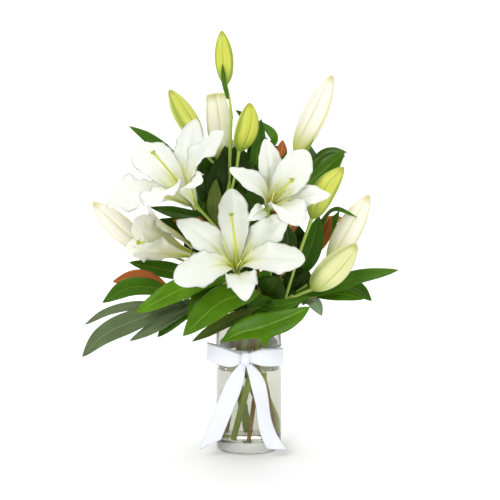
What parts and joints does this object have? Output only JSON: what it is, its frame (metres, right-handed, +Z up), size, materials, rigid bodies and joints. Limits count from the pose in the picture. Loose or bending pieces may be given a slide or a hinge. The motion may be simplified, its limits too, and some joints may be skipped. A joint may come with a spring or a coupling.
{
  "type": "lilies in a vase",
  "caption": "Bouquet of white lilies, lily buds and mixed green foliage standing in a clear glass cylinder vase of water, tied with a white satin ribbon bow",
  "frame": {"origin": "centre of the vase's flat underside, on the surface it stands on", "axes": "+Z up, -Y the front that the bow faces, +X to the right seen from the front"},
  "size_m": [0.477, 0.2789, 0.636],
  "materials": {
    "glass": "clear polished glass",
    "water": "still clear water",
    "ribbon": "white satin",
    "stem": "smooth green stem",
    "wood": "brown woody stem",
    "tepal": "waxy white petal with a yellow-green throat",
    "pistil": "fleshy yellow-green",
    "bud": "waxy green to cream",
    "leaf": "smooth to glossy green leaf"
  },
  "bodies": {
    "root": {"vase": "glass", "water": "water", "lily_stem_right": "stem", "woody_stem_right": "wood", "lily_stem_back_right": "stem", "woody_stem_back": "wood", "lily_stem_centre": "stem", "woody_stem_back_left": "wood", "lily_stem_left": "stem", "woody_stem_left": "wood", "lily_stem_front": "stem", "woody_stem_front": "wood", "ribbon_band": "ribbon", "ribbon_bow": "ribbon", "ribbon_tail_left": "ribbon", "ribbon_tail_right": "ribbon", "lily_upper_left_outer_tepals": "tepal", "lily_upper_left_inner_tepals": "tepal", "lily_upper_left_stamens": "pistil", "lily_upper_left_pistil": "pistil", "lily_right_outer_tepals": "tepal", "lily_right_inner_tepals": "tepal", "lily_right_stamens": "pistil", "lily_right_pistil": "pistil", "lily_front_outer_tepals": "tepal", "lily_front_inner_tepals": "tepal", "lily_front_stamens": "pistil", "lily_front_pistil": "pistil", "lily_left_outer_tepals": "tepal", "lily_left_inner_tepals": "tepal", "lily_left_stamens": "pistil", "lily_left_pistil": "pistil", "bud_top": "bud", "bud_upper_left": "bud", "bud_open_tipped": "bud", "bud_centre": "bud", "bud_tall_right": "bud", "bud_green_right": "bud", "bud_far_right": "bud", "bud_low_right": "bud", "bud_far_left": "bud", "bud_behind": "bud", "leaf_pale_strap": "leaf", "leaf_bright_broad": "leaf", "leaf_shaded_broad": "leaf", "leaf_olive_tip": "leaf", "leaf_long_right": "leaf", "leaf_dark_left": "leaf", "leaf_lobed_front": "leaf", "leaf_divided_left": "leaf", "sprig_left": "leaf", "sprig_right_low": "leaf", "sprig_right": "leaf", "sprig_upper_right": "leaf", "sprig_top": "leaf", "sprig_centre": "leaf", "sprig_inner": "leaf", "sprig_back_left": "leaf", "sprig_back_right": "leaf", "sprig_back_low": "leaf"}
  },
  "joints": []
}
